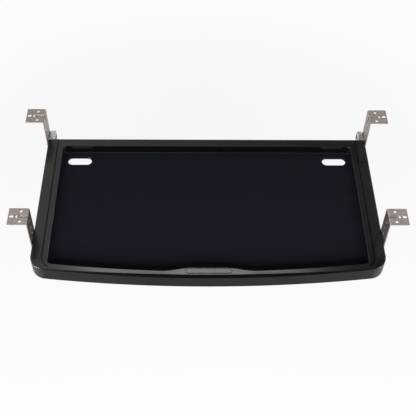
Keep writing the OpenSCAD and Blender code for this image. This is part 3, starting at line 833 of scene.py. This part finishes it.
class DRAWER_OT_plate(bpy.types.Operator):
    """Build the blank oval name plate in the front rim"""

    bl_idname = "keyboard_drawer.plate"
    bl_label = "Name plate"

    def execute(self, context):
        bm = bmesh.new()
        edges = add_stadium(bm, (0, 0), PLATE_LENGTH, sizes().plate_width, -0.9 * MM, 0.3 * MM)
        soften(bm, edges, 0.3 * MM)
        crown = [f for f in bm.faces if len(f.verts) > ROUND_STEPS and f.calc_center_median().z > 0]
        ops.inset_region(bm, faces=crown, thickness=1.1 * MM, depth=-0.12 * MM, use_even_offset=True)
        ops.transform(bm, matrix=lip_frame(), verts=bm.verts)
        gloss = moulded_plastic("Plate plastic", colours().plate)
        finish_piece(piece_from(bm, "blank_plate"), "drawer", gloss, "name_plate")
        return {"FINISHED"}


def bracket_middle(end):
    """Place of a bracket from front to back."""
    low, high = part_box(f"bracket_{end}_right")
    return (low.y + high.y) / 2


def round_end(reach, radius, half):
    """Half width of a strip with rounded corners, at a distance from its end."""
    return half - radius + math.sqrt(max(0, radius * radius - max(0, radius - reach) ** 2))


def press_rib(bm):
    """Presses the rib across the bend of a plain bracket sheet, on its outside and its inside."""
    size = hardware()
    half = size.press_width / 2
    for v in bm.verts:
        x, y, z = v.co
        bend_x, bend_z = size.bend - x, z + size.bend
        on_bend = bend_x > 0 and bend_z > 0
        depth = size.bend - math.hypot(bend_x, bend_z) if on_bend else (x if z < -size.bend else -z)
        depth = min(size.sheet, max(0, depth))
        bend, press = size.bend - depth, size.press_reach - 0.586 * depth
        flat, curve = press - bend, bend * math.pi / 2
        if on_bend:
            along = flat + bend * math.atan2(bend_x, bend_z)
        elif z < -size.bend:
            along = flat + curve - z - depth - bend
        else:
            along = press + depth - x
        part = along / (2 * flat + curve)
        if 0 < part < 1:
            offset = Vector((depth + press * (1 - part), y, -depth - press * part)) - v.co
            offset *= min(1, size.press_depth / max(offset.length, WELD))
            share = smooth((half * 1.05 + depth * 0.8 - abs(y)) / (half * 0.95))
            nudge(bm, [v], offset * share)


def make_bracket():
    """Right hand bracket around its own middle, with its leg's inner face at zero."""
    size = hardware()
    half = (bracket_high.y - bracket_low.y) / 2
    reach, drop = bracket_high.x - bracket_low.x, bracket_high.z - bracket_low.z
    foot, bend, rib_end = half / 3, size.bend, size.press_reach + 2 * MM
    bm = bmesh.new()
    tip = bm.verts.new((reach, -half, 0))
    for x, steps in ((reach - size.sheet / 2, 5), (rib_end, 6), (bend, 26)):
        tip = draw_line(bm, tip, (x, -half, 0), steps)
    tip = draw_arc(bm, tip, (bend, -half, -bend), -math.pi / 2, 10, axis=(0, 1, 0))
    for z, steps in ((-rib_end, 26), (foot - drop, 10), (-drop, 8)):
        tip = draw_line(bm, tip, (0, -half, z), steps)
    line = list(bm.edges)
    inner = 2 * size.press_width
    spots = [-half, -half * 0.84] + [inner * (i / 20 - 1) for i in range(41)] + [half * 0.84, half]
    for here, there in zip(spots, spots[1:]):
        made = ops.extrude_edge_only(bm, edges=line)["geom"]
        line = [g for g in made if isinstance(g, bmesh.types.BMEdge)]
        nudge(bm, verts_of(line), (0, there - here, 0))
    for v in bm.verts:
        x, y, z = v.co
        limit = min(round_end(reach - x, size.sheet / 2, half), round_end(drop + z, foot, half))
        if abs(y) > inner and limit < half:
            fitted = inner + (abs(y) - inner) * (limit - inner) / (half - inner)
            nudge(bm, [v], (0, math.copysign(fitted, y) - y, 0))
    bracket = piece_from(bm, "bracket")
    if sum(f.normal.z for f in bracket.data.polygons if f.center.x > rib_end) < 0:
        bracket.data.flip_normals()
    wall = bracket.modifiers.new("Sheet", "SOLIDIFY")
    wall.thickness, wall.offset, wall.use_even_offset = size.sheet, -1, True
    settle(bracket)
    with mesh_of(bracket) as bm:
        press_rib(bm)
    through = size.sheet + OVERRUN
    with tool_for(bracket) as bm:
        for i in range(4):
            add_rod(bm, (-OVERRUN, 0, -size.height_hole_top - size.height_hole_pitch * i), 4 * MM, size.height_hole)
        for side in SIDES:
            add_drum(bm, (size.flange_hole_reach, side * size.flange_hole_side, 0), 2 * through, size.flange_hole)
        add_stadium(bm, (size.slot_reach, 0), size.slot_length, size.slot_width, -through, OVERRUN)
    radius = size.press_width / 2 + 0.5 * MM
    crescent, back = (
        shape_of("tool", add_drum, (size.press_reach - shift, 0, 0), tall, 2 * radius, 2 * ROUND_STEPS)
        for shift, tall in ((0, 8 * MM), (radius * 0.85, 10 * MM)))
    return clean(combine(bracket, combine(crescent, back)))


def thread(start, end, radius, pitch):
    """Points of a threaded shank between two places."""
    turns = max(1, int((end - start) / pitch))
    step = (end - start) / turns
    points = []
    for i in range(turns):
        points += [(start + step * (i + part), radius * share) for part, share in ((0, 0.84), (0.4, 1), (0.6, 1))]
    return points + [(end, radius * 0.84)]


def make_screw(head, wide, crown, cross, shank):
    """Screw with its head's flat face at zero, its head towards negative X, a cross recess and given shank points."""
    def add_blade(bm, angle):
        made = add_box(bm, (-head - cross, -wide / 4, -wide / 14), (cross - head, wide / 4, wide / 14))
        ops.scale(bm, verts=[v for v in made if v.co.x > -head], vec=(1, 0.5, 0.7))
        ops.rotate(bm, verts=made, cent=(0, 0, 0), matrix=Matrix.Rotation(angle, 3, "X"))

    def on_crown(v):
        return abs(v.co.x + head) < WELD and math.hypot(v.co.y, v.co.z) > wide / 2 - WELD

    bm = bmesh.new()
    add_lathe(bm, [(-head, 0), (-head, wide / 2), (0, wide / 2), *shank])
    soften(bm, [e for e in bm.edges if all(on_crown(v) for v in e.verts)], crown, 5)
    screw = piece_from(bm, "screw")
    blades = (shape_of("tool", add_blade, angle) for angle in (0, math.pi / 2))
    return clean(combine(screw, combine(*blades, "UNION")))


def make_bolt():
    """Bracket bolt, with its shank towards positive X."""
    size = hardware()
    low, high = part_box("bracket_bolts_right")
    web, shank, grip = channel_high.x - size.member, size.bolt / 2, size.member + size.sheet
    long = high.x - web
    turned = thread(grip, long - 0.4 * MM, shank, 0.7 * MM)
    points = [(0, shank), (grip, shank), *turned, (long, shank * 0.7), (long, 0)]
    return make_screw(web - low.x, size.bolt_head, 0.75 * MM, 0.85 * MM, points)


def make_runner_screw():
    """Runner screw, with its head towards positive X and its tip in the tray."""
    size = hardware()
    low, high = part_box("runner_screws_right")
    web, shank = runner_low.x + size.member, size.screw / 2
    long = web - low.x
    points = [(0, shank * 0.86), *thread(size.member, long - 2 * MM, shank, 1.1 * MM), (long, shank * 0.15), (long, 0)]
    screw = make_screw(high.x - web, size.screw_head, 0.9 * MM, 0.9 * MM, points)
    screw.data.transform(TIP_OVER)
    return screw


def make_nut():
    """Nut with one face at zero, towards positive X."""
    size = hardware()
    low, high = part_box("bracket_nuts_right")
    thick, corner = high.x - low.x, size.nut / 2 / math.cos(math.radians(30))
    bore, chamfer, mouth = size.bolt / 2 + 0.05 * MM, 0.42 * MM, 0.35 * MM
    nut = shape_of("nut", add_rod, (0, 0, 0), thick, 2 * corner, 6)
    wide = bore + mouth
    for how, points in (
            ("INTERSECT", [(0, 0), (0, corner * 0.9), (chamfer, corner * 1.01)]),
            ("DIFFERENCE", [(-OVERRUN, 0), (-OVERRUN, wide), (0, wide), (mouth, bore)])):
        with tool_for(nut, how) as bm:
            add_lathe(bm, points + [(thick - x, r) for x, r in reversed(points)])
    return clean(nut)


class DRAWER_OT_brackets(bpy.types.Operator):
    """Build the four pressed desk brackets with their screw holes, slots and height-setting holes"""

    bl_idname = "keyboard_drawer.brackets"
    bl_label = "Desk brackets"

    def execute(self, context):
        zinc = plated_steel("Bracket zinc", colours().zinc, 0.43, scale=700.0, metallic=0.8, contrast=0.3)
        source = make_bracket()
        for end in ENDS:
            place = (bracket_low.x, bracket_middle(end), bracket_high.z)
            place_pair(
                source, f"desk_bracket_{end}", f"bracket_{end}", [place], "desk_frame", zinc, 0.2)
        bpy.data.meshes.remove(source.data)
        return {"FINISHED"}


class DRAWER_OT_fasteners(bpy.types.Operator):
    """Build the bolts and nuts of the brackets, and the screws of the runners"""

    bl_idname = "keyboard_drawer.fasteners"
    bl_label = "Bolts, nuts and screws"

    def execute(self, context):
        size = hardware()
        plating = plated_steel("Fastener plating", colours().fastener, 0.3, scale=500.0)
        ends = [bracket_middle(end) for end in ENDS]
        for source, name, node, x, ys, body in (
                (make_bolt(), "pan_bolts", "bracket_bolts", channel_high.x - size.member, ends, "desk_frame"),
                (make_nut(), "hex_nuts", "bracket_nuts", channel_high.x + size.sheet, ends, "desk_frame"),
                (make_runner_screw(), "tapping_screws", "runner_screws", runner_low.x + size.member, SCREW_PLACES,
                 "drawer")):
            place_pair(source, name, node, [(x, y, SLIDE_LEVEL) for y in ys], body, plating)
            bpy.data.meshes.remove(source.data)
        return {"FINISHED"}


def rolled(rise, corner, angle, lip, bend, half):
    """Moves that roll a slide member: a hook, a lip, the web, a lip and a hook."""
    return [(rise, corner, angle), (lip, bend, 90), (2 * (half - bend), bend, 90), (lip, corner, angle), (rise, 0, 0)]


def add_stops(member, y, near, far):
    """Joins on the tabs that stop the ball cage, one above and one below the web."""
    with tool_for(member, "UNION") as bm:
        for side in SIDES:
            add_box(bm, (BALL_LINE - 1 * MM, y, side * near), (BALL_LINE + 1 * MM, y + STOP_SHEET, side * far))


def make_channel():
    """Right hand channel: rolled sheet with inward hooks, spare slots and front stops."""
    size = hardware()
    low, high = channel_low, channel_high
    half, run, bend = (high.z - low.z) / 2, high.y - low.y, size.roll
    hook, corner, inset = 2.2 * MM, 1.4 * MM, 0.2 * MM
    moves = rolled(hook - corner, corner, 90, high.x - low.x + inset - corner - bend, bend, half)
    channel = shape_of("channel", add_sheet, (low.x - inset, hook - half), -90, moves, size.member, low.y, high.y)
    add_stops(channel, low.y, half - 0.6 * MM, half - 4.9 * MM)
    web, deep = high.x - size.member - OVERRUN, size.member + 2 * OVERRUN
    with tool_for(channel) as bm:
        for s in (0.3, 0.55, 0.7):
            before = set(bm.verts)
            add_stadium(bm, (0, 0), 9 * MM + size.height_hole, size.height_hole, 0, deep)
            lay_down = Matrix(((0, 0, 1), (1, 0, 0), (0, 1, 0))).to_4x4()
            move_new(bm, before, Matrix.Translation((web, low.y + run * s, 0)) @ lay_down)
        for end in ENDS:
            add_rod(bm, (web, bracket_middle(end), 0), deep, size.height_hole)
    return clean(channel)


def make_runner():
    """Right hand runner: rolled sheet with outward hooks, screw holes and back stops."""
    size = hardware()
    low, high, tab = runner_low, runner_high, 3.2 * MM
    half, bend = (high.z - low.z) / 2 - tab, size.roll
    hook, corner, start = 1 * MM, 0.6 * MM, high.x - size.member
    moves = rolled(hook - corner, corner, -90, start - corner - low.x - bend, bend, half)
    runner = shape_of("runner", add_sheet, (start, half + hook), -90, moves, size.member, low.y, high.y)
    add_stops(runner, high.y - STOP_SHEET, half - 0.6 * MM, half + tab)
    with tool_for(runner) as bm:
        for y in SCREW_PLACES:
            add_rod(bm, (low.x - OVERRUN, y, 0), size.member + 2 * OVERRUN, size.screw + 0.4 * MM)
    return clean(runner)


def make_cage():
    """Right hand ball cage: a bent strip with a window for each ball."""
    size = hardware()
    low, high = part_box("ball_cage_right")
    bend, half = 1.3 * MM, (high.z - low.z) / 2
    lip = high.x - low.x - bend
    moves = [(lip, bend, 90), (2 * (half - bend), bend, 90), (lip, 0, 0)]
    cage = shape_of("cage", add_sheet, (low.x, -half), 0, moves, size.cage_sheet, low.y, high.y)
    first, last = balls_low.y + size.ball / 2, balls_high.y - size.ball / 2
    with tool_for(cage) as bm:
        for i in range(6):
            add_drum(bm, (BALL_LINE, first + (last - first) * i / 5, 0), 40 * MM, size.ball + 0.2 * MM)
    return clean(cage)


def make_bumper():
    """Right hand rubber bumper: a soft-edged block with grip ribs and a hollow front."""
    low, high = (Vector(corner) - Vector((0, 0, SLIDE_LEVEL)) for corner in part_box("channel_bumper_right"))
    bm = bmesh.new()
    add_box(bm, low, high)
    front = [f for f in bm.faces if f.normal.y < -0.5]
    ops.inset_region(bm, faces=front, thickness=1.8 * MM, depth=0)
    nudge(bm, verts_of(front), (0, 2.5 * MM, 0))
    soften(bm, list(bm.edges), 0.6 * MM)
    bumper = piece_from(bm, "bumper")
    half = 0.5 * MM
    with tool_for(bumper) as bm:
        for i in range(1, 6):
            z = low.z + (high.z - low.z) * i / 6
            add_box(bm, (low.x - OVERRUN, low.y + 3 * MM, z - half), (low.x + 0.7 * MM, high.y - 1.2 * MM, z + half))
    return clean(bumper)


class DRAWER_OT_slides(bpy.types.Operator):
    """Build the ball-bearing slides: channels, runners, cages and bumpers"""

    bl_idname = "keyboard_drawer.slides"
    bl_label = "Slides"

    def execute(self, context):
        bright = plated_steel("Slide zinc", colours().bright_zinc, 0.3, lines=0.6)
        strip = plated_steel("Cage strip", colours().cage, 0.36)
        soft = rubber("Bumper rubber", colours().rubber)
        for source, name, node, body, slot, material, edge in (
                (make_channel(), "channel", "slide_channel", "desk_frame", "slide_steel", bright, 0.15),
                (make_runner(), "runner", "slide_runner", "drawer", "slide_steel", bright, 0.15),
                (make_cage(), "cage", "ball_cage", None, "cage_steel", strip, 0.06),
                (make_bumper(), "bumper", "channel_bumper", "desk_frame", "bumper_rubber", soft, 0)):
            place_pair(source, name, node, [(0, 0, SLIDE_LEVEL)], body, material, edge)
            bpy.data.meshes.remove(source.data)
        steel = plated_steel("Ball steel", colours().ball, 0.12)
        for _, hand in HANDS:
            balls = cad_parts[f"bearing_balls_{hand}"]
            balls.data.materials.clear()
            balls.data.materials.append(steel)
        return {"FINISHED"}


def place_camera():
    """The photograph's camera, fitted to the brackets and the drawer."""
    data = bpy.data.cameras.new("Photo camera")
    data.lens, data.sensor_width = bpy.context.scene.drawer_stage.lens, 36
    camera = bpy.data.objects.new("Photo camera", data)
    camera.location = (-0.0236, -0.8486, 0.9175)
    camera.rotation_euler = [math.radians(a) for a in (39.67517, -0.88433, -0.61984)]
    bpy.context.scene.collection.objects.link(camera)
    bpy.context.scene.camera = camera


def add_lamp(name, place, aim, size, size_y, power, diffuse=True, glossy=True):
    """A soft rectangular lamp that faces a point, and can light only matt or only glossy surfaces."""
    data = bpy.data.lights.new(name, "AREA")
    data.shape = "RECTANGLE"
    data.size, data.size_y, data.energy = size, size_y, power
    lamp = bpy.data.objects.new(name, data)
    lamp.location = place
    lamp.rotation_euler = (Vector(aim) - Vector(place)).to_track_quat("-Z", "Y").to_euler()
    lamp.visible_diffuse, lamp.visible_glossy = diffuse, glossy
    bpy.context.scene.collection.objects.link(lamp)


def make_world():
    """Plain pale surroundings. What gloss shows of the ceiling is dark, and a little lighter on the left."""
    world = bpy.data.worlds.new("Studio air")
    bpy.context.scene.world = world
    world.use_nodes = True
    n = Nodes(world.node_tree)
    rays, way = n.add("LightPath"), n.axes(n.add("TexCoord")["Generated"])
    ceiling = n.times(n.remap(way["X"], -0.3, 0.15, 0.95, 0.14), n.remap(way["Y"], -0.2, 0.3, 0.05, 1.0))
    glossy = n.mix(n.remap(way["Z"], 0.25, 0.62), 0.95, ceiling)
    strength = n.mix(rays["Is Glossy Ray"], 0.11, glossy)
    seen = n.math("MAXIMUM", rays["Is Camera Ray"], rays["Is Transmission Ray"])
    n.feed(n.tree.nodes["Background"], {"Color": (1, 1, 1), "Strength": n.mix(seen, strength, 1.0)})


def make_floor():
    """Pale floor that fades into the surroundings, and lets a camera below it see through."""
    bm = bmesh.new()
    ops.create_circle(bm, cap_ends=True, segments=96, radius=6)
    nudge(bm, bm.verts, (0, 0, bpy.context.scene.drawer_stage.floor_level))
    floor = piece_from(bm, "studio_floor")
    if floor.data.polygons[0].normal.z < 0:
        floor.data.flip_normals()
    material, n, shader, place = new_material("Studio floor")
    n.feed(shader, {"Base Color": colours().floor, "Roughness": 0.9, "Specular IOR Level": 0.0})
    rays = n.add("LightPath")
    seen = n.math("MAXIMUM", rays["Is Camera Ray"], rays["Is Glossy Ray"])
    seen = n.math("MAXIMUM", seen, rays["Is Transmission Ray"])
    far = n.add("VectorMath", (place,), operation="LENGTH")["Value"]
    fade = n.times(n.remap(far, 0.6, 1.6, 0.84, 1.0), seen)
    glow, clear = n.add("Emission", {"Strength": 1.0})[0], n.add("BsdfTransparent")[0]
    mixed = n.add("MixShader", (fade, shader.outputs[0], glow))[0]
    through = n.add("MixShader", (n.add("NewGeometry")["Backfacing"], mixed, clear))[0]
    n.feed(n.tree.nodes["Material Output"], {"Surface": through})
    floor.data.materials.append(material)


class DRAWER_OT_stage(bpy.types.Operator):
    """Set up the pale studio, its soft light and the camera"""

    bl_idname = "keyboard_drawer.stage"
    bl_label = "Studio"

    def execute(self, context):
        context.scene.view_settings.view_transform = "Standard"
        place_camera()
        make_world()
        make_floor()
        middle = (0, -0.04, -0.05)
        add_lamp("Front softbox", (0, -1.9, 0.8), middle, 2.2, 0.9, 88, glossy=False)
        add_lamp("Overhead softbox", (-0.025, 0.33, 1.15), (-0.025, 0.33, -0.05), 0.7, 0.38, 3.3, diffuse=False)
        add_lamp("Left spark", (-1.3, -0.7, 0.9), middle, 0.6, 0.3, 26, diffuse=False)
        add_lamp("Right spark", (1.3, -0.5, 0.9), middle, 0.6, 0.4, 8, diffuse=False)
        add_lamp("Back spark", (1.0, 1.1, 0.95), middle, 0.3, 0.3, 3, diffuse=False)
        return {"FINISHED"}


OPERATORS = (
    DRAWER_OT_stage, DRAWER_OT_shell, DRAWER_OT_plate, DRAWER_OT_brackets, DRAWER_OT_fasteners, DRAWER_OT_slides,
)
GROUPS = {
    "drawer_sizes": DrawerSizes, "drawer_hardware": HardwareSizes, "drawer_colours": FinishColours,
    "drawer_stage": StageSettings,
}


class DRAWER_PT_panel(bpy.types.Panel):
    """Lists the pieces of the keyboard drawer"""

    bl_idname = "DRAWER_PT_panel"
    bl_label = "Keyboard Drawer"
    bl_space_type = "VIEW_3D"
    bl_region_type = "UI"
    bl_category = "Keyboard Drawer"

    def draw(self, context):
        for operator in OPERATORS:
            self.layout.operator(operator.bl_idname)
        for key in GROUPS:
            group, box = getattr(context.scene, key), self.layout.box()
            for label in group.bl_rna.properties.keys():
                if label not in ("rna_type", "name"):
                    box.prop(group, label)


CLASSES = (*GROUPS.values(), *OPERATORS, DRAWER_PT_panel)


def register():
    for cls in CLASSES:
        bpy.utils.register_class(cls)
    for key, group in GROUPS.items():
        setattr(bpy.types.Scene, key, bpy.props.PointerProperty(type=group))


def unregister():
    for key in GROUPS:
        delattr(bpy.types.Scene, key)
    for cls in reversed(CLASSES):
        bpy.utils.unregister_class(cls)


def main():
    """Builds everything in order."""
    register()
    bpy.ops.keyboard_drawer.stage()
    bpy.ops.keyboard_drawer.shell()
    bpy.ops.keyboard_drawer.plate()
    bpy.ops.keyboard_drawer.brackets()
    bpy.ops.keyboard_drawer.fasteners()
    bpy.ops.keyboard_drawer.slides()


if __name__ == "__main__":
    main()
